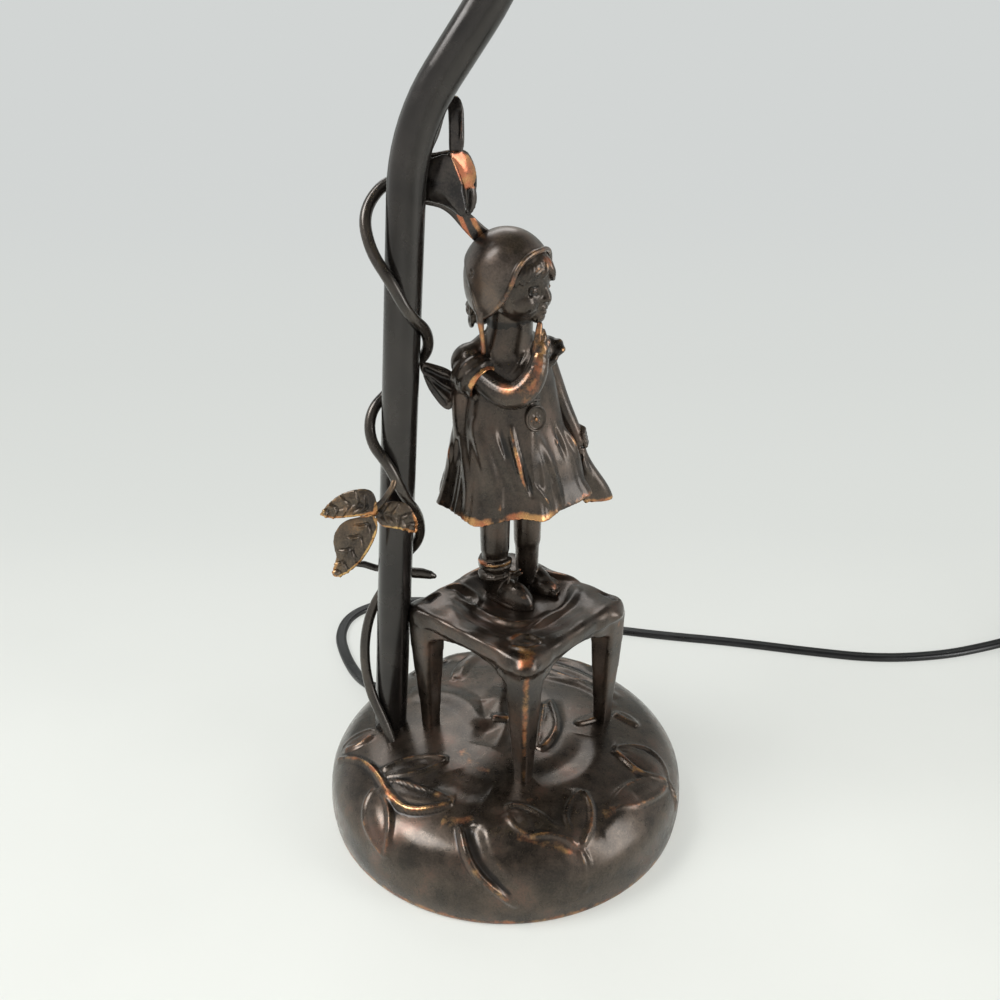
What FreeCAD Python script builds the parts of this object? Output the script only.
"""Figural table lamp: a cast base with a stool and a child in a bonnet, a bent post
with a vine, a shaded lamp head above, and a flexible lead with its switch and plug.

Millimetres. Origin: centre of the face the lamp stands on. +Z is up, +X is to the
right of somebody who faces the lamp, and -Y points at that person.
"""
import FreeCAD, Part
import math
import os
from FreeCAD import Matrix, Rotation, Vector

# ---------------------------------------------------------------- driving dimensions
FIT = 0.05              # radial clearance of a running or plugged fit
SEAT = 0.1              # clearance of a cast foot or peg in its pocket

# base casting
BASE_RADIUS = 77.5      # widest radius, low on the side
BASE_HEIGHT = 36.0      # crown above the table
BASE_WALL = 4.5
RIM_RADIUS = 76.8       # rim the wall ends in
RIM_LIFT = 0.8          # the rim hangs this far above the table, the pad stands on it
BULGE_HEIGHT = 11.0
SHOULDER_RADIUS = 68.0
SHOULDER_HEIGHT = 28.5
PLATE_RADIUS = 70.0
PLATE_THICK = 1.5
PLATE_SCREWS = 3
PLATE_SCREW_CIRCLE = 59.0
PLATE_SCREW_RADIUS = 1.5
BOSS_RADIUS = 4.5
SCREW_HEAD = 2.8
PLATE_FLOOR = RIM_LIFT + PLATE_THICK    # inside face of the bottom plate

# post
POST_RADIUS = 7.0
POST_WALL = 2.0
POST_Y = 5.0
POST_LEAN = 4.0         # degrees towards +X
POST_FOOT_X = -51.6     # axis at the foot
POST_FOOT_Z = 28.0      # bottom end of the tube, in its socket
POST_BEND_Z = 262.0     # where the straight part ends
POST_TILT = 35.5        # degrees from upright between the two bends
LOWER_BEND = 75.0       # radius of the axis
UPPER_BEND = 100.0
TILTED_RUN = 20.0
UPPER_RUN = 18.0
NIPPLE_GRIP = 20.0      # length of a threaded nipple inside the tube
NIPPLE_BORE = 3.6
FOOT_REACH = 15.0       # lower nipple below the tube's end
TOP_REACH = 9.0         # upper nipple above the tube's end
SOCKET_FLOOR = 6.0      # casting left under the post's socket
NUT_HEIGHT = 5.0
NUT_ACROSS = 17.0
WASHER_RADIUS = 11.0
WASHER_THICK = 1.5

# stool
STOOL_CENTRE = Vector(5.0, 5.0, 0.0)
STOOL_TURN = 48.0       # degrees
SEAT_HALF = 32.8        # half the side of the seat
SEAT_TOP = 96.5
SEAT_THICK = 7.0
SEAT_DISH = 4.0         # depth of the hollow the feet stand in
DISH_RADIUS = 25.0
APRON_DEPTH = 8.0
APRON_THICK = 5.0
LEG_TOP = 10.0          # side of a leg under the seat
LEG_FOOT = 6.4
LEG_SPLAY = 1.2         # each foot stands this far in from the seat's corner
LEG_SUNK = 2.5          # foot below the base's surface
LEG_SCREW_RADIUS = 1.5

# child
CHILD = Vector(2.5, 20.0, 0.0)          # axis of the figure over the seat
CHILD_TURN = -57.0                      # the way the body faces, degrees from +X
HEAD_TURN = -32.0
SOLE = SEAT_TOP - SEAT_DISH             # what the soles stand on
RIGHT_ANKLE = Vector(-4.6, 16.5, 0.0)
LEFT_ANKLE = Vector(9.2, 25.0, 0.0)
ANKLE_RADIUS = 5.2
CALF_RADIUS = 6.3
HEM_HEIGHT = 140.5
HEM_RADII = (31.0, 27.0)                # across, and front to back
HEM_FLUTES = 7
HEM_WAVE = 2.6
SKIRT_WALL = 3.0
SKIRT_HOLLOW = 13.0
LEG_REACH = HEM_HEIGHT + SKIRT_HOLLOW + 2.0    # the legs end inside the smock here
NECK_HEIGHT = 208.0
LOCKET_SHARE = 0.58                     # height of the locket, as a share of the smock's
HEAD_CENTRE = Vector(2.6, 15.5, NECK_HEIGHT + 21.0)
HEAD_RADII = (14.6, 13.2, 16.4)         # front to back, across, up
BONNET_CENTRE = Vector(0.2, 17.2, NECK_HEIGHT + 22.2)
BONNET_RADII = (17.8, 16.6, 18.4)
BONNET_BROW = (14.7, 11.0)              # front edge of the bonnet: forward of its centre, and above it
BONNET_RAKE = 26.0                      # the opening leans forward at its top, degrees
PEG_RADIUS = 2.0

# vine, leaves and flower
VINE_RADIUS = 2.15
LEAF_THICK = 1.6
PETAL_THICK = 1.8
BELL_WAIST = 8.0        # the blossom's bell, where its throat meets it
BELL_MOUTH = 10.2

# lamp head
HOLDER_RADIUS = 14.0
CAP_RADIUS = 15.5
CAP_HEIGHT = 20.0
HOLDER_HEIGHT = 29.0
SCREW_SHELL = 7.2       # bore radius of the small screw holder
SHELL_WALL = 0.8
GALLERY_DROP = 8.0      # how far the glass rests below the gallery's ring
GALLERY_THICK = 3.0
ARM_RADIUS = 1.8        # of the gallery's three arms
ARM_INSET = 0.3         # the arms lie this far below the gallery's top
NUT_RING_RADIUS = 20.0
GLASS_RADIUS = 104.0
GLASS_HEIGHT = 104.0
GLASS_WALL = 3.0
BULB_RADIUS = 22.5
BULB_LENGTH = 57.0
BULB_SEAT = CAP_HEIGHT + 5.5            # the bulb's tip above the post's top

# lead
FLEX_RADIUS = 3.0
CORES_RADIUS = 2.0      # the two cores inside the lamp
RELIEF_NECK = 4.6
RELIEF_TIP = 4.0
FLEX_GAP = 0.5          # between the turns of the coil
EXIT_TURN = 136.0       # direction in which the lead leaves the base, degrees
EXIT_HEIGHT = 9.0
EXIT_REACH = 92.0       # end of the strain relief from the base's axis
COIL_RADIUS = 39.0      # outermost turn
COIL_TURNS = 2.5        # in each of its two layers, besides the half turn between them
COIL_START = Vector(394.0, 115.5, FLEX_RADIUS)
SWITCH_CENTRE = Vector(332.0, 115.0, 0.0)
SWITCH_LENGTH = 62.0
SWITCH_WIDTH = 26.0
SWITCH_HEIGHT = 15.0
SWITCH_WALL = 2.0
ROCKER_LENGTH = 17.0
ROCKER_WIDTH = 10.0
ROCKER_TILT = 8.0       # degrees either way
ROCKER_GAP = 0.8
ROCKER_PIN = 1.2
EAR_THICK = 3.5         # lugs beside the rocker that carry its pins
PLUG_FRONT = Vector(303.0, 37.5, 0.0)
PLUG_LENGTH = 37.0
PLUG_WIDTH = 35.0
PLUG_HEIGHT = 13.7
PIN_RADIUS = 2.0
PIN_LENGTH = 19.0
PIN_PITCH = 18.6

UP = Vector(0, 0, 1)


# ---------------------------------------------------------------- helpers
def export(shape, name):
    """Write one sub-part, after a check that its solids are sound."""
    if not shape.isValid():
        print("UNSOUND", name)
    shape.exportStep("parts/" + name + ".step")
    print(f"{name}: {len(shape.Solids)} solid(s), {shape.Volume / 1000:.2f} cm3")


def heading(degrees, length=1.0, z=0.0):
    """A vector in plan, by its angle from +X."""
    turn = math.radians(degrees)
    return Vector(length * math.cos(turn), length * math.sin(turn), z)


def rod(radius, start, end):
    """A round bar between two points."""
    along = end - start
    return Part.makeCylinder(radius, along.Length, start, along)


def taper(start_radius, end_radius, start, end):
    along = end - start
    if abs(start_radius - end_radius) < 1e-6:
        return rod(start_radius, start, end)
    return Part.makeCone(start_radius, end_radius, along.Length, start, along)


def ball(radius, centre):
    return Part.makeSphere(radius, centre)


def egg(centre, radii, turn=0.0, tip=0.0):
    """An ellipsoid: radii along its own axes, tipped about Y, then turned about Z."""
    stretch = Matrix()
    stretch.scale(*radii)
    shape = Part.makeSphere(1.0).transformGeometry(stretch)
    shape.rotate(Vector(), Vector(0, 1, 0), tip)
    shape.rotate(Vector(), UP, turn)
    shape.translate(centre)
    return shape


def limb(points, radii):
    """Tapered round limbs joined by balls, as one solid."""
    shape = ball(radii[0], points[0])
    for i in range(len(points) - 1):
        shape = shape.fuse(taper(radii[i], radii[i + 1], points[i], points[i + 1]))
        shape = shape.fuse(ball(radii[i + 1], points[i + 1]))
    return shape


def fused(shapes):
    whole = shapes[0]
    for shape in shapes[1:]:
        whole = whole.fuse(shape)
    return whole


def arc_edge(start, through, end):
    return Part.Arc(start, through, end).toShape()


def spun(edges):
    """The solid of a closed profile in the XZ plane, spun about Z."""
    return Part.Face(Part.Wire(edges)).revolve(Vector(), UP, 360)


def chain(points):
    """Straight edges through points."""
    return [Part.LineSegment(a, b).toShape() for a, b in zip(points, points[1:])]


def tangent_arc(start, direction, end):
    """The arc that leaves a point in a direction and ends at another point."""
    chord = end - start
    if chord.getAngle(direction) < 1e-4:
        return Part.LineSegment(start, end).toShape()
    middle = (direction.normalize() + Vector(chord).normalize()).normalize()
    reach = chord.Length / (2 * math.cos(chord.getAngle(direction) / 2))
    return arc_edge(start, start + middle * reach, end)


def biarc(start, start_way, end, end_way):
    """Two arcs that join two points and leave and meet them in given directions."""
    across = end - start
    turn = start_way + end_way
    a = 2 * (start_way.dot(end_way) - 1)
    b = -2 * across.dot(turn)
    c = across.dot(across)
    reach = -c / b if abs(a) < 1e-9 else (-b - math.sqrt(b * b - 4 * a * c)) / (2 * a)
    first = start + start_way * reach
    last = end - end_way * reach
    joint = (first + last) * 0.5
    joint_way = (last - first).normalize()
    return [tangent_arc(start, Vector(start_way), joint), tangent_arc(joint, joint_way, end)]


def smooth_edges(points, ways):
    """Biarcs through points, each passed in its own direction."""
    edges = []
    for i in range(len(points) - 1):
        edges += biarc(points[i], ways[i], points[i + 1], ways[i + 1])
    return edges


def chord_ways(points, first, last):
    """A direction at each point: along the chord of its neighbours."""
    inner = [(b - a).normalize() for a, b in zip(points, points[2:])]
    return [first.normalize()] + inner + [last.normalize()]


def tube_along(edges, radius, name):
    """A round cord or rod along tangent edges, with its volume set against its length."""
    path = Part.Wire(edges)
    start = edges[0].valueAt(edges[0].FirstParameter)
    way = edges[0].tangentAt(edges[0].FirstParameter)
    ring = Part.Wire([Part.Circle(start, way, radius).toShape()])
    solid = path.makePipeShell([ring], True, True)
    expected = math.pi * radius ** 2 * path.Length
    print(f"{name}: {path.Length:.1f} mm long, volume {solid.Volume / expected:.4f} of section x length")
    return solid


def lead_edges(points, name):
    """Straight runs joined by tangent arcs as large as their two runs allow."""
    edges = []
    radii = []
    here = points[0]
    for before, corner, after in zip(points, points[1:], points[2:]):
        way_in = (corner - before).normalize()
        way_out = (after - corner).normalize()
        half_turn = way_in.getAngle(way_out) / 2
        reach = 0.45 * min((corner - before).Length, (after - corner).Length)
        radii.append(reach / math.tan(half_turn))
        start = corner - way_in * reach
        end = corner + way_out * reach
        edges.append(Part.LineSegment(here, start).toShape())
        edges.append(tangent_arc(start, Vector(way_in), end))
        here = end
    edges.append(Part.LineSegment(here, points[-1]).toShape())
    print(name, "bend radii", " ".join(f"{r:.0f}" for r in radii))
    return edges


def hexagon(across, height, centre, axis):
    corner = across / math.sqrt(3)
    points = [heading(60 * i, corner) for i in range(7)]
    shape = Part.Face(Part.makePolygon(points)).extrude(UP * height)
    shape.Placement = FreeCAD.Placement(centre, Rotation(UP, axis))
    return shape


def placed_on(shape, origin, along, normal):
    """Move a shape from its own axes: X goes along, Z goes to the normal's side."""
    x = Vector(along).normalize()
    z = (normal - x * normal.dot(x)).normalize()
    y = z.cross(x)
    moved = shape.copy()
    moved.transformShape(Matrix(x.x, y.x, z.x, origin.x, x.y, y.y, z.y, origin.y,
                                x.z, y.z, z.z, origin.z, 0, 0, 0, 1))
    return moved


def leaf(base, tip, width, normal, fold=14.0, fullest=0.42, thick=LEAF_THICK):
    """A leaf folded along its midrib: two halves with one curved edge each."""
    length = (tip - base).Length
    halves = []
    for side in (1, -1):
        edge = arc_edge(Vector(), Vector(fullest * length, side * width / 2, 0), Vector(length, 0, 0))
        rib = Part.LineSegment(Vector(length, 0, 0), Vector()).toShape()
        half = Part.Face(Part.Wire([edge, rib])).extrude(UP * thick)
        half.rotate(Vector(0, 0, thick / 2), Vector(1, 0, 0), side * fold)
        halves.append(half)
    return placed_on(fused(halves), base, tip - base, normal)


def arc_band(start, through, end, thick, width):
    """A bent strap: a curved strip in the XZ plane, its width along Y, centred on its start."""
    circle = arc_edge(start, through, end).Curve
    centre = circle.Center
    centre.y = start.y
    outer = [centre + (p - centre) * (1 + thick / 2 / circle.Radius) for p in (start, through, end)]
    inner = [centre + (p - centre) * (1 - thick / 2 / circle.Radius) for p in (start, through, end)]
    edges = [arc_edge(*outer), Part.LineSegment(outer[2], inner[2]).toShape(),
             arc_edge(inner[2], inner[1], inner[0]), Part.LineSegment(inner[0], outer[0]).toShape()]
    strip = Part.Face(Part.Wire(edges)).extrude(Vector(0, width, 0))
    strip.translate(Vector(0, -width / 2, 0))
    return strip


# ---------------------------------------------------------------- base
def dome(inset):
    """The dome of the base as a solid, its outer face drawn in by an inset."""
    rim = Vector(RIM_RADIUS - inset, 0, RIM_LIFT)
    bulge = Vector(BASE_RADIUS - inset, 0, BULGE_HEIGHT)
    shoulder = Vector(SHOULDER_RADIUS - 0.75 * inset, 0, SHOULDER_HEIGHT - 0.75 * inset)
    brow = Vector(0.62 * BASE_RADIUS - 0.3 * inset, 0, BASE_HEIGHT - 1.7 - inset)
    crown = Vector(0, 0, BASE_HEIGHT - inset)
    side = Part.BSplineCurve()
    side.interpolate(Points=[rim, bulge, shoulder, brow, crown],
                     InitialTangent=Vector(0.3, 0, 1), FinalTangent=Vector(-1, 0, 0))
    floor = Vector(0, 0, rim.z)
    return spun([side.toShape()] + chain([crown, floor, rim]))


def plate_screw_points():
    return [heading(90 + 360 / PLATE_SCREWS * i, PLATE_SCREW_CIRCLE) for i in range(PLATE_SCREWS)]


def post_axis():
    return Vector(math.sin(math.radians(POST_LEAN)), 0, math.cos(math.radians(POST_LEAN)))


def post_foot():
    return Vector(POST_FOOT_X, POST_Y, POST_FOOT_Z)


def base_casting(stool_shape, vine_shape):
    outside = dome(0)
    inside = dome(BASE_WALL)
    shell = outside.cut(inside)
    shell = shell.cut(Part.makeCylinder(PLATE_RADIUS + 0.5, PLATE_FLOOR, Vector()))
    bosses = [rod(BOSS_RADIUS, p + UP * PLATE_FLOOR, p + UP * BASE_HEIGHT) for p in plate_screw_points()]
    post_boss = rod(POST_RADIUS + BASE_WALL, post_foot() - post_axis() * SOCKET_FLOOR,
                    post_foot() + post_axis() * 10.0)
    bosses.append(post_boss)
    for foot in leg_feet():
        bosses.append(rod(BOSS_RADIUS + 1.0, foot - UP * 6.0, foot + UP * 2.0))
    shell = shell.fuse(fused(bosses).common(outside))
    for point in plate_screw_points():
        shell = shell.cut(rod(PLATE_SCREW_RADIUS, point + UP * PLATE_FLOOR, point + UP * 16.0))
    socket = rod(POST_RADIUS + SEAT, post_foot(), post_foot() + post_axis() * 20.0)
    passage = rod(POST_RADIUS - POST_WALL + FIT, post_foot() - post_axis() * 20.0,
                  post_foot() + post_axis() * 5.0)
    shell = shell.cut(socket).cut(passage)
    for foot in leg_feet():
        shell = shell.cut(rod(LEG_SCREW_RADIUS + FIT, foot - UP * 20.0, foot + UP * 5.0))
    exit_way = heading(EXIT_TURN)
    centre = UP * EXIT_HEIGHT
    shell = shell.cut(rod(RELIEF_NECK + FIT, centre + exit_way * 55.0, centre + exit_way * 90.0))
    return shell.cut(stool_shape).cut(vine_shape)


def bottom_plate():
    disc = Part.makeCylinder(PLATE_RADIUS, PLATE_THICK, UP * RIM_LIFT)
    for point in plate_screw_points():
        disc = disc.cut(rod(PLATE_SCREW_RADIUS + SEAT, point, point + UP * 10.0))
    return disc


def base_pad():
    disc = Part.makeCylinder(PLATE_RADIUS - 1.5, RIM_LIFT, Vector())
    for point in plate_screw_points():
        disc = disc.cut(rod(SCREW_HEAD + 1.0, point - UP, point + UP * 10.0))
    return disc


def plate_screws():
    """Flat-headed screws whose thin heads lie in the pad's holes."""
    screws = []
    for point in plate_screw_points():
        head = rod(SCREW_HEAD, point + UP * 0.1, point + UP * RIM_LIFT)
        shank = rod(PLATE_SCREW_RADIUS, point + UP * RIM_LIFT, point + UP * 15.0)
        screws.append(head.fuse(shank))
    return Part.makeCompound(screws)


# ---------------------------------------------------------------- post
def post_edges():
    """Axis of the post: straight, bent over, tilted, bent back upright, straight."""
    lean = math.radians(POST_LEAN)
    tilt = math.radians(POST_TILT)
    foot = post_foot()
    bend = foot + post_axis() * ((POST_BEND_Z - POST_FOOT_Z) / math.cos(lean))
    centre = bend + Vector(math.cos(lean), 0, -math.sin(lean)) * LOWER_BEND

    def on_lower(angle):
        return centre + Vector(-math.cos(angle), 0, math.sin(angle)) * LOWER_BEND

    tilted = on_lower(tilt)
    way = Vector(math.sin(tilt), 0, math.cos(tilt))
    back = tilted + way * TILTED_RUN
    upper = back + Vector(-math.cos(tilt), 0, math.sin(tilt)) * UPPER_BEND

    def on_upper(angle):
        return upper + Vector(math.cos(angle), 0, -math.sin(angle)) * UPPER_BEND

    upright = on_upper(0)
    top = upright + UP * UPPER_RUN
    return [Part.LineSegment(foot, bend).toShape(), arc_edge(bend, on_lower((lean + tilt) / 2), tilted),
            Part.LineSegment(tilted, back).toShape(), arc_edge(back, on_upper(tilt / 2), upright),
            Part.LineSegment(upright, top).toShape()]


def post_top():
    edge = post_edges()[-1]
    return edge.valueAt(edge.LastParameter)


def post_tube():
    outer = tube_along(post_edges(), POST_RADIUS, "post")
    return outer.cut(tube_along(post_edges(), POST_RADIUS - POST_WALL, "post bore"))


def nipple(end, inwards, reach):
    """A hollow threaded nipple in one end of the post."""
    whole = rod(POST_RADIUS - POST_WALL, end + inwards * NIPPLE_GRIP, end - inwards * reach)
    return whole.cut(rod(NIPPLE_BORE, end + inwards * (NIPPLE_GRIP + 1), end - inwards * (reach + 1)))


def post_washer():
    top = post_foot() - post_axis() * SOCKET_FLOOR
    ring = rod(WASHER_RADIUS, top - post_axis() * WASHER_THICK, top)
    return ring.cut(rod(POST_RADIUS - POST_WALL + FIT, top - post_axis() * 5, top + post_axis() * 5))


def post_nut():
    low = post_foot() - post_axis() * (SOCKET_FLOOR + WASHER_THICK + NUT_HEIGHT)
    nut = hexagon(NUT_ACROSS, NUT_HEIGHT, low, post_axis())
    return nut.cut(rod(POST_RADIUS - POST_WALL + FIT, low - post_axis() * 5, low + post_axis() * 15))


# ---------------------------------------------------------------- stool
def stool_corner(i, reach):
    """A point on the diagonal to one corner of the seat, at the seat's top."""
    return STOOL_CENTRE + heading(STOOL_TURN - 45 + 90 * i, reach, SEAT_TOP)


def leg_feet():
    """Where the legs' screws enter their feet."""
    diagonal = (SEAT_HALF - LEG_TOP / 2) * math.sqrt(2) - LEG_SPLAY
    feet = []
    for i in range(4):
        foot = stool_corner(i, diagonal)
        foot.z = foot_level()
        feet.append(foot)
    return feet


def foot_level():
    return BASE_HEIGHT - 1.4 - LEG_SUNK


def square_wire(centre, half, turn):
    corners = [centre + heading(turn + 45 + 90 * i, half * math.sqrt(2)) for i in range(5)]
    return Part.makePolygon(corners)


def stool():
    """Dished seat, arched aprons and four tapered legs, cast in one."""
    seat_low = SEAT_TOP - SEAT_THICK
    seat = Part.makeBox(2 * SEAT_HALF, 2 * SEAT_HALF, SEAT_THICK, Vector(-SEAT_HALF, -SEAT_HALF, seat_low))
    seat = seat.makeFillet(6.0, [e for e in seat.Edges if abs(e.tangentAt(e.FirstParameter).z) > 0.9])
    seat = seat.makeFillet(2.4, [e for e in seat.Edges if e.BoundBox.ZMin > SEAT_TOP - 0.1])
    flat = 0.72 * DISH_RADIUS
    dish = Part.makeCone(flat, DISH_RADIUS + 3.0, SEAT_DISH, Vector(0, 0, SEAT_TOP - SEAT_DISH))
    seat = seat.cut(dish)
    inner = SEAT_HALF - APRON_THICK
    apron = Part.makeBox(2 * SEAT_HALF - 3, 2 * SEAT_HALF - 3, APRON_DEPTH,
                         Vector(1.5 - SEAT_HALF, 1.5 - SEAT_HALF, seat_low - APRON_DEPTH))
    apron = apron.cut(Part.makeBox(2 * inner, 2 * inner, 2 * APRON_DEPTH,
                                   Vector(-inner, -inner, seat_low - 2 * APRON_DEPTH)))
    span = SEAT_HALF - LEG_TOP
    arch = (span ** 2 + (0.75 * APRON_DEPTH) ** 2) / (1.5 * APRON_DEPTH)
    for axis in (Vector(1, 0, 0), Vector(0, 1, 0)):
        middle = Vector(0, 0, seat_low - APRON_DEPTH + 0.75 * APRON_DEPTH - arch)
        apron = apron.cut(rod(arch, middle - axis * 60, middle + axis * 60))
    whole = seat.fuse(apron)
    whole.rotate(Vector(), UP, STOOL_TURN)
    whole.translate(STOOL_CENTRE)
    top_diagonal = (SEAT_HALF - LEG_TOP / 2 - 0.8) * math.sqrt(2)
    for i, foot in enumerate(leg_feet()):
        head = stool_corner(i, top_diagonal)
        head.z = seat_low + 1.0
        sections = [square_wire(head, LEG_TOP / 2, STOOL_TURN), square_wire(foot, LEG_FOOT / 2, STOOL_TURN)]
        leg = Part.makeLoft(sections, True, True)
        leg = leg.makeFillet(1.2, [e for e in leg.Edges if e.Length > 30])
        whole = whole.fuse(leg)
    for foot in leg_feet():
        whole = whole.cut(rod(LEG_SCREW_RADIUS, foot - UP, foot + UP * 14.0))
    for ankle in (RIGHT_ANKLE, LEFT_ANKLE):
        whole = whole.cut(rod(PEG_RADIUS + SEAT, ankle + UP * (SOLE - 12), ankle + UP * (SOLE + 1)))
    return whole


def stool_screws():
    """Pan-headed screws that go up through the base into the four feet."""
    screws = []
    for foot in leg_feet():
        low = foot - UP * 6.0
        head = rod(SCREW_HEAD, low - UP * 2.0, low)
        screws.append(head.fuse(rod(LEG_SCREW_RADIUS, low, foot + UP * 13.0)))
    return Part.makeCompound(screws)


# ---------------------------------------------------------------- child
def fluted_ring(z, centre, radii, wave):
    """One section of the smock: an oval with soft flutes, deeper towards the hem."""
    count = 4 * HEM_FLUTES
    points = []
    for i in range(count):
        angle = 2 * math.pi * i / count
        swell = 1 + wave / max(radii) * math.cos(HEM_FLUTES * angle)
        point = Vector(radii[0] * swell * math.cos(angle), radii[1] * swell * math.sin(angle), 0)
        points.append(Rotation(UP, CHILD_TURN + 90).multVec(point) + centre + UP * z)
    curve = Part.BSplineCurve()
    curve.interpolate(Points=points, PeriodicFlag=True)
    return Part.Wire([curve.toShape()])


def smock_sections():
    """Height above the hem as a share of the smock, swell as a share of the hem's, wave, lean."""
    rise = NECK_HEIGHT - HEM_HEIGHT
    table = ((0.0, 1.0, 1.0, -3.0), (0.2, 0.88, 0.75, -2.0), (0.42, 0.79, 0.45, -1.0),
             (0.62, 0.70, 0.22, 0.0), (0.80, 0.60, 0.08, 0.0), (0.92, 0.45, 0.0, 0.0), (1.0, 0.25, 0.0, 0.0))
    for height, swell, wave, lean in table:
        yield HEM_HEIGHT + rise * height, swell, HEM_WAVE * wave, CHILD + Vector(0.3, lean, 0)


def smock():
    """The flared smock: a loft through fluted ovals, hollow from below, with puff sleeves."""
    outer = [fluted_ring(z, c, (HEM_RADII[0] * s, HEM_RADII[1] * s), w) for z, s, w, c in smock_sections()]
    body = Part.makeLoft(outer, True, False)
    wave, centre = next(smock_sections())[2:]
    low = [HEM_RADII[0] - SKIRT_WALL, HEM_RADII[1] - SKIRT_WALL]
    high = [r * 0.72 for r in low]
    hollow = Part.makeLoft([fluted_ring(HEM_HEIGHT - 1, centre, low, wave),
                            fluted_ring(HEM_HEIGHT + SKIRT_HOLLOW, centre + Vector(0, 1.5, 0),
                                        high, wave / 2)], True, True)
    body = body.cut(hollow)
    right_sleeve = egg(Vector(-13.2, 12.6, NECK_HEIGHT - 10.0), (8.4, 7.2, 8.0), 20, 24)
    left_sleeve = egg(Vector(15.6, 23.5, NECK_HEIGHT - 9.0), (6.4, 6.0, 6.6))
    neck = taper(10.5, 8.0, Vector(-0.2, 16.5, NECK_HEIGHT - 8), Vector(2.2, 15.8, NECK_HEIGHT + 8))
    return fused([body, right_sleeve, left_sleeve, neck])


def right_arm():
    """Upper arm across the chest, forearm up, and the hand at the mouth."""
    points = [Vector(-12.0, 8.5, NECK_HEIGHT - 12.0), Vector(1.2, -2.5, NECK_HEIGHT - 18.0),
              Vector(12.6, -2.0, NECK_HEIGHT - 5.0), Vector(12.0, 0.6, NECK_HEIGHT + 7.0)]
    return limb(points, (4.9, 5.2, 3.6, 1.6))


def left_arm():
    """The arm that hangs at the side, and the hand that holds the cloth."""
    points = [Vector(17.0, 24.0, NECK_HEIGHT - 11.0), Vector(24.0, 25.0, NECK_HEIGHT - 31.0),
              Vector(28.0, 22.5, NECK_HEIGHT - 41.0), Vector(29.5, 21.0, NECK_HEIGHT - 45.5)]
    return limb(points, (4.0, 3.7, 3.2, 3.0))


def hanging_cloth():
    """A gathered cloth that widens from the hand to its lower edge."""
    hand = NECK_HEIGHT - 48.0
    fall = hand - HEM_HEIGHT
    stations = ((0.0, Vector(29.8, 21.0, 0), 2.6, 2.6), (0.5, Vector(32.2, 21.0, 0), 5.0, 3.4),
                (0.92, Vector(35.6, 21.4, 0), 7.0, 4.2), (1.2, Vector(37.0, 21.8, 0), 7.8, 4.6))
    wires = []
    for share, centre, across, through in stations:
        oval = Part.Ellipse(centre + UP * (hand - share * fall), across, through).toShape()
        wires.append(Part.Wire([oval]))
    return Part.makeLoft(wires, True, False)


def shoe(heel, toe, height, width):
    """A rounded foot between heel and toe, flat on the seat."""
    middle = heel + (toe - heel) * 0.58
    turn = math.degrees(math.atan2((toe - heel).y, (toe - heel).x))
    length = (toe - heel).Length
    front = egg(middle + UP * SOLE, (length * 0.44, width / 2, height), turn)
    back = egg(heel + (toe - heel) * 0.26 + UP * SOLE, (length * 0.27, width * 0.43, height * 1.25), turn)
    foot = front.fuse(back)
    block = Part.makeBox(80, 80, 40, Vector(CHILD.x - 40, CHILD.y - 40, SOLE))
    return foot.common(block)


def legs():
    """The booted right leg with its rolled cuff and the bare left one, each with a peg."""
    heel, toe = Vector(-7.6, 20.2, 0), Vector(11.2, 4.6, 0)
    calf = taper(ANKLE_RADIUS, CALF_RADIUS, RIGHT_ANKLE + UP * (SOLE + 4), RIGHT_ANKLE + UP * LEG_REACH)
    boot = [shoe(heel, toe, 10.0, 11.6), calf]
    for z, radius in ((SOLE + 11.5, 6.6), (SOLE + 16.0, 7.0)):
        boot.append(Part.makeTorus(radius - 1.5, 1.7, RIGHT_ANKLE + UP * z))
    bare_heel, bare_toe = Vector(6.6, 28.6, 0), Vector(22.0, 16.8, 0)
    bare_calf = taper(ANKLE_RADIUS - 0.4, CALF_RADIUS - 0.2, LEFT_ANKLE + UP * (SOLE + 3),
                      LEFT_ANKLE + UP * LEG_REACH)
    bare = [shoe(bare_heel, bare_toe, 6.2, 9.6), bare_calf]
    pegs = [rod(PEG_RADIUS, ankle + UP * (SOLE - SEAT_THICK + SEAT_DISH + 1.5), ankle + UP * (SOLE + 6))
            for ankle in (RIGHT_ANKLE, LEFT_ANKLE)]
    return Part.makeCompound([fused(boot + pegs[:1]), fused(bare + pegs[1:])])


def head():
    """The head with the curls at its nape; the face is finished by hand on the casting."""
    skull = egg(HEAD_CENTRE, HEAD_RADII, HEAD_TURN)
    face = HEAD_CENTRE + heading(HEAD_TURN, 5.0, -5.0)
    cheeks = egg(face, (9.6, 10.6, 9.8), HEAD_TURN)
    nose = ball(2.0, HEAD_CENTRE + heading(HEAD_TURN, HEAD_RADII[0] - 0.2, -3.5))
    curls = limb([Vector(-9.0, 21.0, NECK_HEIGHT + 14.0), Vector(-12.6, 21.5, NECK_HEIGHT + 7.8),
                  Vector(-9.4, 26.0, NECK_HEIGHT + 5.4)], (3.4, 3.5, 3.2))
    return fused([skull, cheeks, nose, curls])


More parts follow.
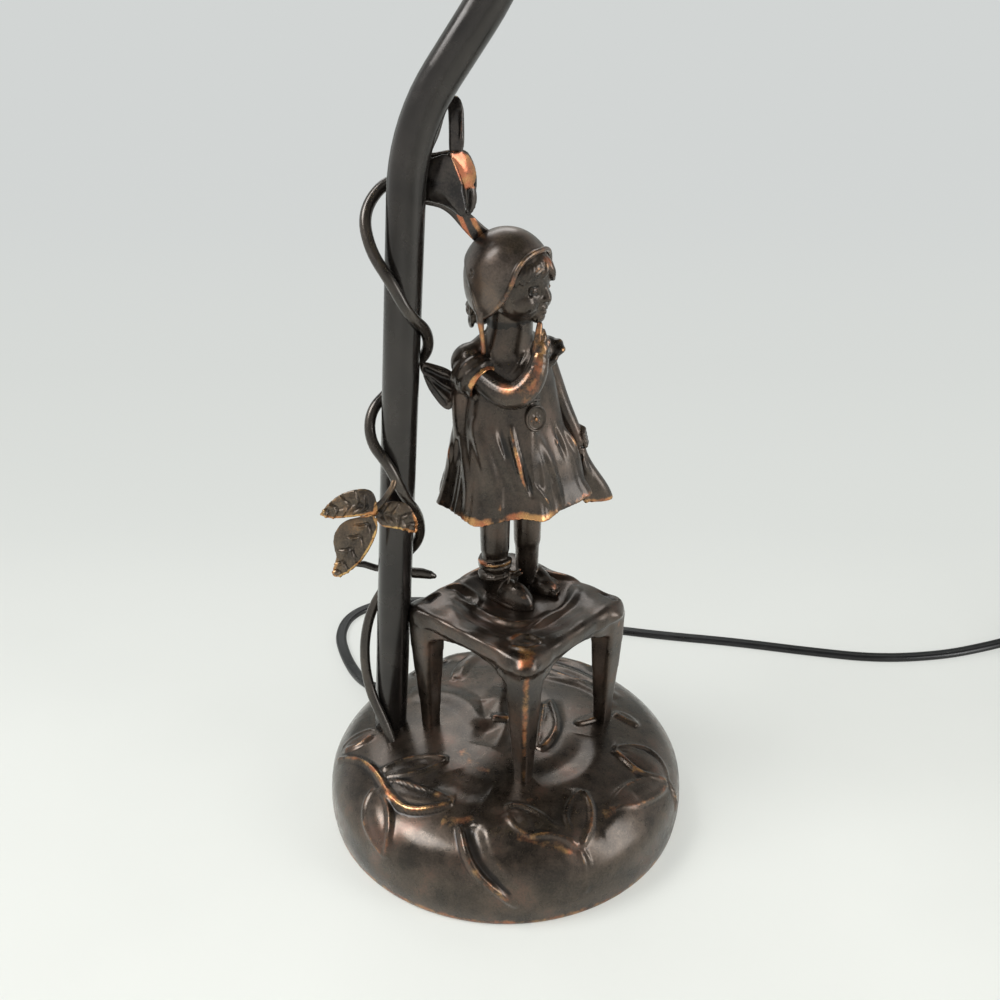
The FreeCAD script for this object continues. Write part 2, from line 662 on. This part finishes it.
def bonnet(head_shape):
    """A close cap over the head, open round the face, with lappets and their ribbons."""
    cap = egg(BONNET_CENTRE, BONNET_RADII, HEAD_TURN)
    look = heading(HEAD_TURN)
    opening = Part.makeBox(60, 80, 80, Vector(0, -40, -80))
    opening.rotate(Vector(), Vector(0, 1, 0), BONNET_RAKE)
    opening.rotate(Vector(), UP, HEAD_TURN)
    opening.translate(BONNET_CENTRE + look * BONNET_BROW[0] + UP * BONNET_BROW[1])
    cap = cap.cut(opening)
    under = Part.makeBox(80, 80, 40, Vector(-40, -20, BONNET_CENTRE.z - 55.5))
    cap = cap.cut(under)
    for side in (1, -1):
        away = heading(HEAD_TURN + 90 * side)
        root = BONNET_CENTRE + away * 12.6 - look * 1.0 - UP * 6.0
        chin = BONNET_CENTRE + away * 12.6 - look * 3.0 - UP * 13.4
        tie = BONNET_CENTRE + away * 13.5 - look * 2.8 - UP * 25.0
        cap = cap.fuse(limb([root, chin, tie], (4.2, 2.2, 1.2)))
    return cap.cut(head_shape)


def locket():
    """An oval drop on the chest with a raised rim."""
    way = Vector(0.42, -0.90, 0.10)
    stretch = Matrix()
    stretch.scale(0.82, 1.0, 1.0)
    disc = Part.makeCylinder(5.2, 1.6).fuse(Part.makeTorus(4.8, 0.6, Vector(0, 0, 1.6)))
    disc = disc.transformGeometry(stretch)
    level = HEM_HEIGHT + LOCKET_SHARE * (NECK_HEIGHT - HEM_HEIGHT)
    return placed_on(disc, Vector(10.6, 2.0, level), Vector(0.9, 0.42, 0), way)


# ---------------------------------------------------------------- vine
def post_centre(z):
    """Point on the post's axis at a height, along its straight part."""
    return post_foot() + post_axis() * ((z - POST_FOOT_Z) / math.cos(math.radians(POST_LEAN)))


def vine_stations():
    """Height, angle round the post and distance from its axis, from the foot up."""
    stations = ((33.0, -83.0, 12.6), (61.0, -165.0, 11.0), (85.0, -200.0, 11.6), (107.0, -270.0, 10.0),
                (128.5, -342.0, 9.9), (157.0, -450.0, 10.0), (175.5, -540.0, 11.4), (191.0, -622.0, 10.2),
                (206.7, -705.0, 10.0), (226.7, -810.0, 10.2), (249.0, -900.0, 13.8), (262.0, -942.0, 13.6))
    return [post_centre(z) + heading(turn, reach) for z, turn, reach in stations]


FLOWER_NECK = Vector(-31.0, 15.5, 266.0)


def vine():
    """A round stem that climbs the post in two and a half turns, on biarcs."""
    stations = vine_stations()
    points = [stations[0] - UP * 5.0] + stations + [FLOWER_NECK]
    ways = chord_ways(points, Vector(0, 0, 1), Vector(1, 0.05, 0.15))
    return tube_along(smooth_edges(points, ways), VINE_RADIUS, "vine")


def trim_to(shape, *others):
    for other in others:
        shape = shape.cut(other)
    return shape


def leaf_cluster():
    """Three lobes and a short stalk, in front of the post."""
    heart = Vector(-51.5, -7.2, 147.0)
    front = Vector(0.1, -1.0, 0.25)
    lobes = []
    for tip, width in ((Vector(-73.0, -7.8, 143.0), 11.0), (Vector(-56.5, -8.2, 154.5), 9.0),
                       (Vector(-68.5, -9.6, 116.0), 15.0), (Vector(-36.5, -8.0, 133.5), 12.0)):
        lobes.append(leaf(heart, tip, width, front))
    stalk = limb([heart - Vector(0, 0.8, 0), vine_stations()[5] + Vector(0, -1.0, 0)], (1.3, 1.3))
    return fused(lobes + [stalk])


def twig():
    """A short twig with a leaf bud, behind the post."""
    root = vine_stations()[3] + Vector(0, 1.5, 0)
    bud = leaf(root, Vector(-29.5, 16.5, 103.0), 6.5, Vector(0, -0.4, 1))
    spur = limb([root, Vector(-66.0, 13.5, 111.0)], (1.6, 1.1))
    return fused([spur, bud])


def single_leaf():
    """One hanging leaf to the right of the post."""
    root = vine_stations()[8] + Vector(0.5, 1.5, -4.0)
    return leaf(root, Vector(-21.5, 14.0, 179.0), 13.0, Vector(-0.55, -1, 0.1), 20)


def flower():
    """The open blossom beside the post: a bell, two side petals, two bent straps and a hanging one."""
    y = FLOWER_NECK.y + 1.0
    waist = Vector(-29.0, y, 265.2)
    mouth = Vector(-19.5, y, 264.6)
    throat = taper(3.2, BELL_WAIST, Vector(-37.0, y + 1.0, 265.5), waist)
    bell = taper(BELL_WAIST, BELL_MOUTH, waist, mouth)
    inside = taper(BELL_WAIST / 2, BELL_MOUTH - PETAL_THICK, waist, mouth)
    rising = arc_band(Vector(-27.0, y + 1.5, 269.0), Vector(-22.6, y + 1.5, 281.0),
                      Vector(-19.2, y + 1.5, 292.6), PETAL_THICK, 5.0)
    falling = arc_band(Vector(-19.8, y, 292.2), Vector(-16.3, y, 287.0),
                       Vector(-16.6, y, 276.0), PETAL_THICK, 7.0)
    lower = limb([Vector(-30.0, y, 259.6), Vector(-24.0, y, 257.6), Vector(-18.7, y, 254.7),
                  Vector(-14.6, y, 250.6), Vector(-12.4, y, 247.6)], (1.3, 1.4, 1.6, 1.8, 1.9))
    front = leaf(Vector(-28.0, y - 4, 267.0), Vector(-10.5, y - 6, 262.0), 20.0,
                 Vector(0.35, -1, 0.2), 24, 0.66)
    back = leaf(Vector(-28.0, y + 2, 267.0), Vector(-10.5, y + 5, 263.0), 18.0, Vector(0.35, 1, 0.2), 24, 0.66)
    return fused([throat, bell.cut(inside), rising, falling, lower, front, back])


# ---------------------------------------------------------------- lamp head
def head_axis(z):
    """A point on the lamp head's axis, by its height above the post's top."""
    return post_top() + UP * z


def holder_cap():
    """The domed cap that screws on the post's nipple."""
    base = head_axis(0)
    cap = Part.makeCone(POST_RADIUS + 2.5, CAP_RADIUS, 9.0, base)
    cap = cap.fuse(Part.makeCylinder(CAP_RADIUS, CAP_HEIGHT - 9.0, base + UP * 9.0))
    cap = cap.cut(Part.makeCylinder(CAP_RADIUS - 2.0, CAP_HEIGHT, base + UP * 10.0))
    return cap.cut(Part.makeCylinder(POST_RADIUS - POST_WALL + FIT, 30, base - UP))


def holder_body():
    """The insulating body with its shoulder and the outer thread for the ring."""
    low = head_axis(CAP_HEIGHT - 6.0)
    neck = Part.makeCylinder(CAP_RADIUS - 2.0 - FIT, 6.0, low)
    shoulder = Part.makeCylinder(CAP_RADIUS, 3.0, low + UP * 6.0)
    tower = Part.makeCylinder(HOLDER_RADIUS, HOLDER_HEIGHT - 3.0, low + UP * 9.0)
    body = fused([neck, shoulder, tower])
    bore = SCREW_SHELL + SHELL_WALL
    return body.cut(Part.makeCylinder(bore, 40.0, low + UP * 8.0)).cut(Part.makeCylinder(4.0, 10.0, low - UP))


def screw_shell():
    """The brass shell the bulb screws into."""
    low = head_axis(CAP_HEIGHT + 2.0)
    shell = Part.makeCylinder(SCREW_SHELL + SHELL_WALL, 20.0, low)
    shell = shell.cut(Part.makeCylinder(SCREW_SHELL, 30.0, low + UP * 1.0))
    return shell.cut(Part.makeCylinder(4.0, 5.0, low - UP))


def centre_contact():
    """The sprung tongue under the bulb's tip, on its insulating stud."""
    low = head_axis(CAP_HEIGHT - 3.0)
    return Part.makeCylinder(3.4, 6.5, low).fuse(Part.makeCylinder(1.6, 1.6, low + UP * 6.5))


def gallery_level():
    return CAP_HEIGHT + 3.0


def shade_gallery():
    """The ring on the holder and three arms with upturned ends that carry the glass."""
    level = head_axis(gallery_level())
    hub = Part.makeCylinder(HOLDER_RADIUS + 7.0, GALLERY_THICK, level)
    arms = []
    for i in range(3):
        way = heading(90 + 120 * i)
        root = level + way * (HOLDER_RADIUS + 4.0) + UP * (GALLERY_THICK - ARM_RADIUS - ARM_INSET)
        knee = level + way * (0.45 * GLASS_RADIUS) + UP * (GALLERY_THICK / 2)
        ledge = level + way * (GLASS_RADIUS - 3 * GLASS_WALL) - UP * GALLERY_DROP
        tip = level + way * (GLASS_RADIUS + ARM_RADIUS + 1.0) - UP * GALLERY_DROP
        arms.append(limb([root, knee, ledge, tip], [ARM_RADIUS] * 4))
        arms.append(rod(ARM_RADIUS - 0.2, tip, tip + UP * 9.0))
    whole = fused([hub] + arms)
    return whole.cut(Part.makeCylinder(HOLDER_RADIUS + FIT, 20.0, level - UP * 5))


def glass_seat():
    """Height of the glass's rim above the post's top: it rests on the arms."""
    return gallery_level() - GALLERY_DROP + ARM_RADIUS + SEAT


def dome_curve(radius, height):
    """Half section of the glass dome, from its rim to its crown."""
    shares = ((1.0, 0.0), (0.975, 0.30), (0.82, 0.63), (0.47, 0.90), (0.0, 1.0))
    curve = Part.BSplineCurve()
    curve.interpolate(Points=[Vector(radius * x, 0, height * z) for x, z in shares],
                      InitialTangent=Vector(0.0, 0, 1), FinalTangent=Vector(-1, 0, 0))
    return curve.toShape()


def dome_solid(radius, height):
    """A closed dome on the plane of its rim."""
    return spun([dome_curve(radius, height)] + chain([Vector(0, 0, height), Vector(), Vector(radius, 0, 0)]))


def glass_shade():
    """A plain blown dome, open below, that stands on the gallery's arms."""
    inside = dome_solid(GLASS_RADIUS - GLASS_WALL, GLASS_HEIGHT - GLASS_WALL)
    shade = dome_solid(GLASS_RADIUS, GLASS_HEIGHT).cut(inside)
    shade.translate(head_axis(glass_seat()))
    return shade


def shade_ring():
    """The ring nut that clamps the gallery on the holder's thread."""
    level = head_axis(gallery_level() + GALLERY_THICK)
    ring = Part.makeCylinder(NUT_RING_RADIUS, 7.0, level)
    ring = ring.makeFillet(1.5, [e for e in ring.Edges if e.BoundBox.ZMin > level.z + 6])
    return ring.cut(Part.makeCylinder(HOLDER_RADIUS + FIT, 20.0, level - UP * 5))


def bulb_cap():
    low = head_axis(BULB_SEAT)
    cap = Part.makeCone(2.2, SCREW_SHELL - 0.4, 3.0, low)
    return cap.fuse(Part.makeCylinder(SCREW_SHELL - 0.4, 19.0, low + UP * 3.0))


def bulb_glass():
    """A small round bulb: a neck that swells into a ball."""
    low = head_axis(BULB_SEAT + 22.0)
    neck = SCREW_SHELL - 0.4
    centre = low + UP * (BULB_LENGTH - BULB_RADIUS)
    swell = 0.82 * BULB_RADIUS
    meet = centre - UP * math.sqrt(BULB_RADIUS ** 2 - swell ** 2)
    return taper(neck, swell, low, meet).fuse(ball(BULB_RADIUS, centre))


# ---------------------------------------------------------------- lead
def strain_relief():
    """The moulded bush in the base's wall and its tapered sleeve."""
    way = heading(EXIT_TURN)
    centre = UP * EXIT_HEIGHT
    wall = BASE_RADIUS
    neck = rod(RELIEF_NECK, centre + way * (wall - 8.0), centre + way * (wall + 0.5))
    collar = rod(RELIEF_NECK + 1.2, centre + way * (wall + 0.3), centre + way * (wall + 2.8))
    sleeve = taper(RELIEF_NECK, RELIEF_TIP, centre + way * (wall + 2.8), centre + way * EXIT_REACH)
    bush = fused([neck, collar, sleeve])
    return bush.cut(rod(FLEX_RADIUS + FIT, centre + way * (wall - 10), centre + way * (EXIT_REACH + 2)))


def flex_route():
    """The free lead, from inside its strain relief to the switch, by hand."""
    way = heading(EXIT_TURN)
    entry = SWITCH_CENTRE - Vector(SWITCH_LENGTH / 2 - 4.0, 0, -SWITCH_HEIGHT / 2)
    floor = FLEX_RADIUS
    points = [UP * EXIT_HEIGHT + way * (BASE_RADIUS - 8.0), UP * EXIT_HEIGHT + way * (EXIT_REACH + 4.0)]
    for x, y, z in ((-78.0, 82.0, 5.0), (-87.5, 104.0, floor), (-94.0, 126.0, floor), (-90.0, 148.0, floor),
                    (-70.0, 162.0, floor), (-40.0, 162.5, floor), (2.0, 153.0, floor), (45.0, 135.0, floor),
                    (86.0, 125.0, floor), (128.0, 118.0, floor), (168.0, 108.5, floor), (204.0, 101.5, floor),
                    (240.0, 104.5, floor), (268.0, 112.0, floor + 0.4)):
        points.append(Vector(x, y, z))
    return points + [Vector(entry.x - 14.0, entry.y, entry.z), entry]


def lead_route():
    """The short run from the switch to the coil."""
    leave = SWITCH_CENTRE + Vector(SWITCH_LENGTH / 2 - 4.0, 0, SWITCH_HEIGHT / 2)
    return [leave, leave + Vector(11.0, 0, -0.4), COIL_START - Vector(12.0, -0.2, 0), COIL_START]


def coil_point(turns):
    """A point on the coil after a number of turns: in, half a turn up, and out again."""
    pitch = 2 * FLEX_RADIUS + FLEX_GAP
    turning = COIL_TURNS + 0.25
    wound = turning - abs(turns - turning)
    climb = min(max((turns - COIL_TURNS) / 0.5, 0.0), 1.0)
    reach = COIL_RADIUS - pitch * wound
    height = COIL_START.z + pitch * (1 - math.cos(math.pi * climb)) / 2
    centre = COIL_START - Vector(0, COIL_RADIUS, 0)
    spot = centre + heading(90 - 360 * turns, reach)
    spot.z = height
    return spot


def coil_way(turns):
    step = 0.0005
    low = max(turns - step, 0.0)
    high = min(turns + step, 2 * COIL_TURNS + 0.5)
    return (coil_point(high) - coil_point(low)).normalize()


def coil_least_gap():
    """The least distance between the coil's own surfaces, measured on points."""
    steps = 40
    total = 2 * COIL_TURNS + 0.5
    spots = [coil_point(i / steps) for i in range(int(total * steps) + 1)]
    least = min(spots[i].distanceToPoint(spots[j]) for i in range(len(spots))
                for j in range(i + steps // 2, len(spots)))
    return least - 2 * FLEX_RADIUS


def cord_coil():
    """The put-away length: one tube wound inwards, up a layer, and outwards."""
    quarters = int(4 * (2 * COIL_TURNS + 0.5))
    stations = [i / 4 for i in range(quarters + 1)]
    points = [coil_point(t) for t in stations]
    ways = [coil_way(t) for t in stations]
    ways[0] = Vector(1, 0, 0)
    ways[-1] = Vector(-1, 0, 0)
    print(f"coil: least gap to itself {coil_least_gap():.2f} mm")
    return tube_along(smooth_edges(points, ways), FLEX_RADIUS, "coil")


def tail_route():
    start = coil_point(2 * COIL_TURNS + 0.5)
    plug_back = PLUG_FRONT + Vector(PLUG_LENGTH + 8.0, 0, PLUG_HEIGHT / 2)
    return [start, start - Vector(12.0, 0, 0.2), plug_back + Vector(22.0, 0, 0), plug_back]


def box_at(centre, length, width, low, high, round_by):
    """A block with rounded upright corners."""
    shape = Part.makeBox(length, width, high - low, Vector(centre.x - length / 2, centre.y - width / 2, low))
    return shape.makeFillet(round_by, [e for e in shape.Edges if abs(e.tangentAt(e.FirstParameter).z) > 0.9])


def switch_shells():
    """Lower and upper half of the switch's housing, split at half its height."""
    middle = SWITCH_HEIGHT / 2
    solid = box_at(SWITCH_CENTRE, SWITCH_LENGTH, SWITCH_WIDTH, 0, SWITCH_HEIGHT, 9.0)
    ends = [e for e in solid.Edges if e.BoundBox.ZLength < 0.01]
    solid = solid.makeFillet(2.0, ends)
    hollow = box_at(SWITCH_CENTRE, SWITCH_LENGTH - 14.0, SWITCH_WIDTH - 2 * SWITCH_WALL - 2,
                    SWITCH_WALL, SWITCH_HEIGHT - SWITCH_WALL, 4.0)
    solid = solid.cut(hollow)
    along = Vector(SWITCH_LENGTH / 2 + 1, 0, 0)
    level = SWITCH_CENTRE + UP * middle
    solid = solid.cut(rod(FLEX_RADIUS + FIT, level - along, level + along))
    slot_long, slot_wide = ROCKER_LENGTH + ROCKER_GAP, ROCKER_WIDTH + ROCKER_GAP
    slot = Part.makeBox(slot_long, slot_wide, SWITCH_HEIGHT, level - Vector(slot_long / 2, slot_wide / 2, 0))
    solid = solid.cut(slot)
    for side in (1, -1):
        middle_of_ear = level + Vector(0, side * (slot_wide + EAR_THICK) / 2, 0)
        ear = Part.makeBox(6.0, EAR_THICK, 5.5, middle_of_ear - Vector(3.0, EAR_THICK / 2, 0))
        solid = solid.fuse(ear)
    solid = solid.cut(rocker_pin(ROCKER_PIN + FIT, 3.2))
    for point in switch_screw_points():
        solid = solid.cut(rod(1.2, point - UP, point + UP * (SWITCH_HEIGHT - 3)))
        solid = solid.cut(rod(2.4, point - UP, point + UP * 1.6))
    cutter = Part.makeBox(100, 60, 40, SWITCH_CENTRE + Vector(-50, -30, middle))
    return solid.cut(cutter), solid.common(cutter)


def rocker_axis():
    return SWITCH_CENTRE + UP * (SWITCH_HEIGHT / 2 + 2.6)


def rocker_pin(radius, reach):
    half = Vector(0, ROCKER_WIDTH / 2 + reach, 0)
    return rod(radius, rocker_axis() - half, rocker_axis() + half)


def switch_screw_points():
    reach = SWITCH_LENGTH / 2 - 4.6
    side = SWITCH_WIDTH / 2 - 6.4
    return [SWITCH_CENTRE + Vector(reach, side, 0), SWITCH_CENTRE - Vector(reach, side, 0)]


def switch_screws():
    screws = []
    for p in switch_screw_points():
        head = rod(2.2, p + UP * 0.4, p + UP * 1.6)
        screws.append(head.fuse(rod(1.2, p + UP * 1.6, p + UP * (SWITCH_HEIGHT - 4))))
    return Part.makeCompound(screws)


def switch_rocker():
    """The rocker, rolled to its off side, with its two pins."""
    axis = rocker_axis()
    top = SWITCH_HEIGHT - axis.z + 2.2
    outline = [Vector(-ROCKER_LENGTH / 2, 0, -2.0), Vector(-ROCKER_LENGTH / 2 + 0.6, 0, top)]
    edge = arc_edge(outline[1], Vector(0, 0, top - 1.6), Vector(ROCKER_LENGTH / 2 - 0.6, 0, top))
    rest = chain([Vector(ROCKER_LENGTH / 2 - 0.6, 0, top), Vector(ROCKER_LENGTH / 2, 0, -2.0),
                  Vector(3.0, 0, -3.0), Vector(-3.0, 0, -3.0), outline[0], outline[1]])
    block = Part.Face(Part.Wire([edge] + rest)).extrude(Vector(0, ROCKER_WIDTH, 0))
    block.translate(axis - Vector(0, ROCKER_WIDTH / 2, 0))
    whole = block.fuse(rocker_pin(ROCKER_PIN, 3.0))
    whole.rotate(axis, Vector(0, 1, 0), -ROCKER_TILT)
    return whole


def plug_body():
    """A flat two-pin plug, waisted towards its sleeve."""
    middle = PLUG_HEIGHT / 2
    front = PLUG_FRONT + UP * middle
    wires = []
    for reach, width, height in ((0.0, PLUG_WIDTH, PLUG_HEIGHT), (14.0, PLUG_WIDTH, PLUG_HEIGHT),
                                 (28.0, 22.0, PLUG_HEIGHT - 1.0), (PLUG_LENGTH, 14.0, 11.0)):
        y, z = width / 2, height / 2
        around = ((1, 0.5), (0.82, 1), (-0.82, 1), (-1, 0.5),
                  (-1, -0.5), (-0.82, -1), (0.82, -1), (1, -0.5), (1, 0.5))
        corners = [Vector(reach, s * y, t * z) + front for s, t in around]
        wires.append(Part.makePolygon(corners))
    body = Part.makeLoft(wires, True, True)
    back = front + Vector(PLUG_LENGTH - 1, 0, 0)
    body = body.fuse(taper(5.4, RELIEF_TIP, back, back + Vector(22.0, 0, 0)))
    body = body.cut(rod(FLEX_RADIUS + FIT, front + Vector(PLUG_LENGTH - 10, 0, 0), back + Vector(30, 0, 0)))
    for side in (1, -1):
        pin = front + Vector(0, side * PIN_PITCH / 2, 0)
        body = body.cut(rod(PIN_RADIUS, pin - Vector(1, 0, 0), pin + Vector(9.0, 0, 0)))
    return body


def plug_pins():
    front = PLUG_FRONT + UP * (PLUG_HEIGHT / 2)
    pins = []
    for side in (1, -1):
        root = front + Vector(9.0, side * PIN_PITCH / 2, 0)
        tip = root - Vector(9.0 + PIN_LENGTH, 0, 0)
        neck = tip + Vector(1.5, 0, 0)
        pins.append(rod(PIN_RADIUS, root, neck).fuse(taper(PIN_RADIUS, 1.1, neck, tip)))
    return Part.makeCompound(pins)


def inner_flex():
    """The cores inside the lamp: from the bush, along the plate, up the post to the holder."""
    way = heading(EXIT_TURN)
    start = UP * EXIT_HEIGHT + way * (BASE_RADIUS - 8.0)
    low = PLATE_FLOOR + CORES_RADIUS + 0.6
    mouth = post_foot() - post_axis() * (FOOT_REACH - 1.0)
    inwards = Vector(start.x - mouth.x, start.y - mouth.y, 0).normalize()
    bend = mouth.z - low
    turn = mouth + inwards * bend
    turn.z = low
    middle = (start + turn) * 0.5
    middle.z = low
    points = [start, middle, turn, mouth]
    ways = [-way, -inwards, -inwards, post_axis()]
    edges = smooth_edges(points, ways) + [Part.LineSegment(mouth, post_foot()).toShape()] + post_edges()
    return tube_along(edges, CORES_RADIUS, "inner flex")


# ---------------------------------------------------------------- build
def main():
    os.makedirs("parts", exist_ok=True)
    seat = stool()
    stem = vine()
    tube = post_tube()
    export(base_casting(seat, stem), "base_casting")
    export(bottom_plate(), "bottom_plate")
    export(base_pad(), "base_pad")
    export(plate_screws(), "plate_screws")
    export(tube, "post_tube")
    export(nipple(post_foot(), post_axis(), FOOT_REACH), "foot_nipple")
    export(post_washer(), "post_washer")
    export(post_nut(), "post_nut")
    export(nipple(post_top(), Vector(0, 0, -1), TOP_REACH), "top_nipple")
    export(seat, "stool")
    export(stool_screws(), "stool_screws")

    smock_shape = smock()
    skull = head().cut(smock_shape)
    cap = bonnet(skull).cut(smock_shape)
    arm = right_arm().cut(smock_shape).cut(skull)
    hanging = left_arm().cut(smock_shape)
    cloth = hanging_cloth().cut(smock_shape).cut(hanging)
    export(smock_shape, "child_smock")
    export(trim_to(legs(), smock_shape, seat), "child_legs")
    export(skull, "child_head")
    export(cap, "child_bonnet")
    export(arm, "child_right_arm")
    export(hanging, "child_left_arm")
    export(cloth, "child_cloth")
    export(trim_to(locket(), smock_shape, arm), "child_locket")

    stem = stem.cut(tube)
    export(stem, "vine")
    export(trim_to(leaf_cluster(), stem, tube), "leaf_cluster")
    export(trim_to(twig(), stem, tube), "twig")
    export(trim_to(single_leaf(), stem, tube), "single_leaf")
    export(trim_to(flower(), stem, tube, cap), "flower")

    export(holder_cap(), "holder_cap")
    export(holder_body(), "holder_body")
    export(screw_shell(), "screw_shell")
    export(centre_contact(), "centre_contact")
    export(shade_gallery(), "shade_gallery")
    export(shade_ring(), "shade_ring")
    export(glass_shade(), "glass_shade")
    export(bulb_cap(), "bulb_cap")
    export(bulb_glass(), "bulb_glass")

    export(inner_flex(), "inner_flex")
    export(strain_relief(), "strain_relief")
    export(tube_along(lead_edges(flex_route(), "flex"), FLEX_RADIUS, "flex"), "cord_flex")
    export(tube_along(lead_edges(lead_route(), "lead"), FLEX_RADIUS, "lead"), "cord_lead")
    export(cord_coil(), "cord_coil")
    export(tube_along(lead_edges(tail_route(), "tail"), FLEX_RADIUS, "tail"), "cord_tail")
    lower, upper = switch_shells()
    export(lower, "switch_lower")
    export(upper, "switch_upper")
    export(switch_screws(), "switch_screws")
    export(switch_rocker(), "switch_rocker")
    export(plug_body(), "plug_body")
    export(plug_pins(), "plug_pins")


main()
